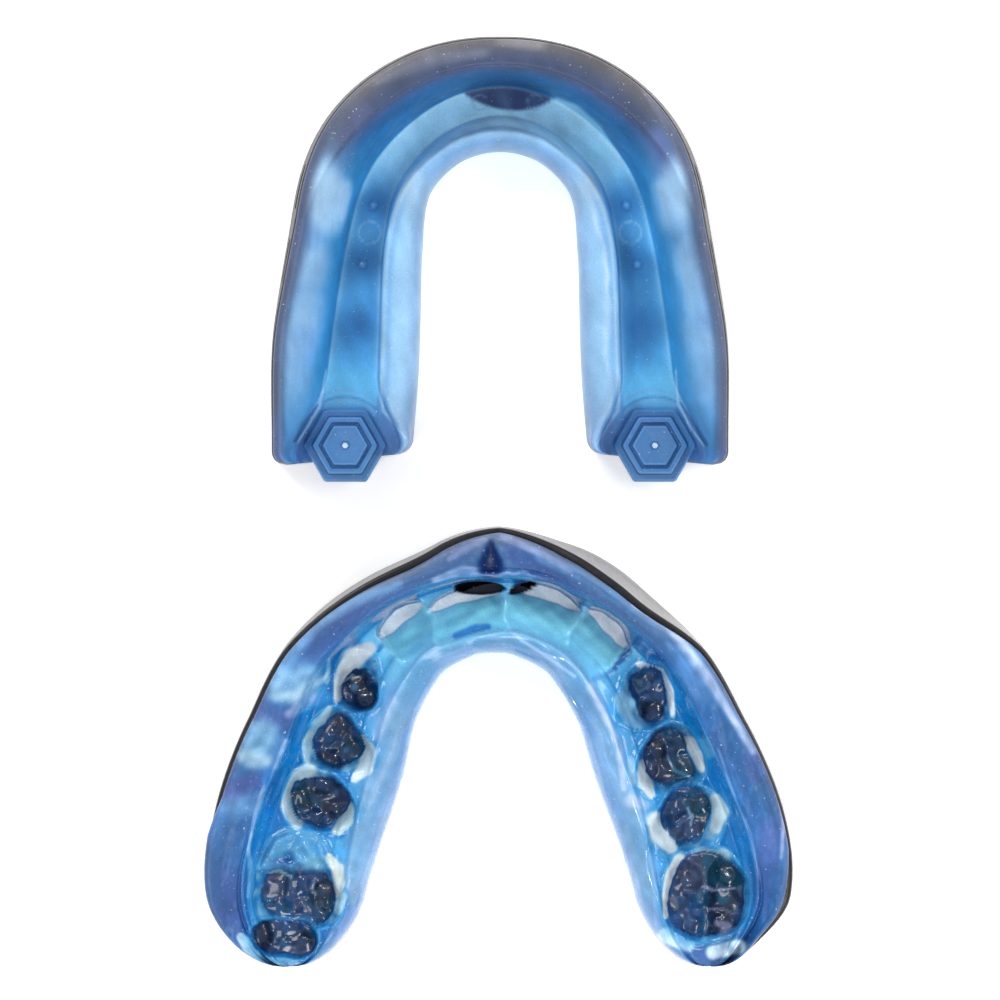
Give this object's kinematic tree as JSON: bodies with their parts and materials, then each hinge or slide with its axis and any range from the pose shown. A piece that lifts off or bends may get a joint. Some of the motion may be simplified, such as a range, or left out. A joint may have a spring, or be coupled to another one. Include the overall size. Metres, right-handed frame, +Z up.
{
  "type": "mouthguard pair",
  "caption": "Pair of boil-and-bite mouthguards for contact sports, blue gel liners in black shock frames: one as new, one moulded to a set of upper teeth.",
  "frame": {"origin": "middle of the pair's outline in plan, on the surface that the guards lie on", "axes": "+Y towards the lips, +Z up from the bite side to the gum side, +X to the wearer's right; the unfitted guard lies at +Y, the fitted one at -Y"},
  "size_m": [0.0712, 0.1114, 0.02],
  "materials": {
    "gel": "clear blue moulded gel, satin when new and glossy once fitted",
    "frame_rubber": "black moulded thermoplastic rubber, satin",
    "pad_rubber": "dark navy moulded rubber, satin",
    "post_gel": "dense blue moulded gel, satin"
  },
  "bodies": {
    "unfitted_guard": {"unfitted_gel_liner": "gel", "unfitted_shock_frame": "frame_rubber", "unfitted_airway_bridge": "pad_rubber", "unfitted_left_bite_pad_1": "pad_rubber", "unfitted_left_bite_pad_2": "pad_rubber", "unfitted_left_bite_pad_3": "pad_rubber", "unfitted_right_bite_pad_1": "pad_rubber", "unfitted_right_bite_pad_2": "pad_rubber", "unfitted_right_bite_pad_3": "pad_rubber", "unfitted_left_heel_post": "post_gel", "unfitted_right_heel_post": "post_gel"},
    "fitted_guard": {"fitted_gel_liner": "gel", "fitted_shock_frame": "frame_rubber", "fitted_airway_bridge": "pad_rubber", "fitted_left_bite_pad_1": "pad_rubber", "fitted_left_bite_pad_2": "pad_rubber", "fitted_left_bite_pad_3": "pad_rubber", "fitted_right_bite_pad_1": "pad_rubber", "fitted_right_bite_pad_2": "pad_rubber", "fitted_right_bite_pad_3": "pad_rubber", "fitted_left_heel_post": "post_gel", "fitted_right_heel_post": "post_gel"}
  },
  "joints": [
    {"name": "fitted_guard_lift", "type": "slide", "parent": "unfitted_guard", "child": "fitted_guard", "axis": [0, 0, 1], "range_m": [0, 0.06]}
  ]
}
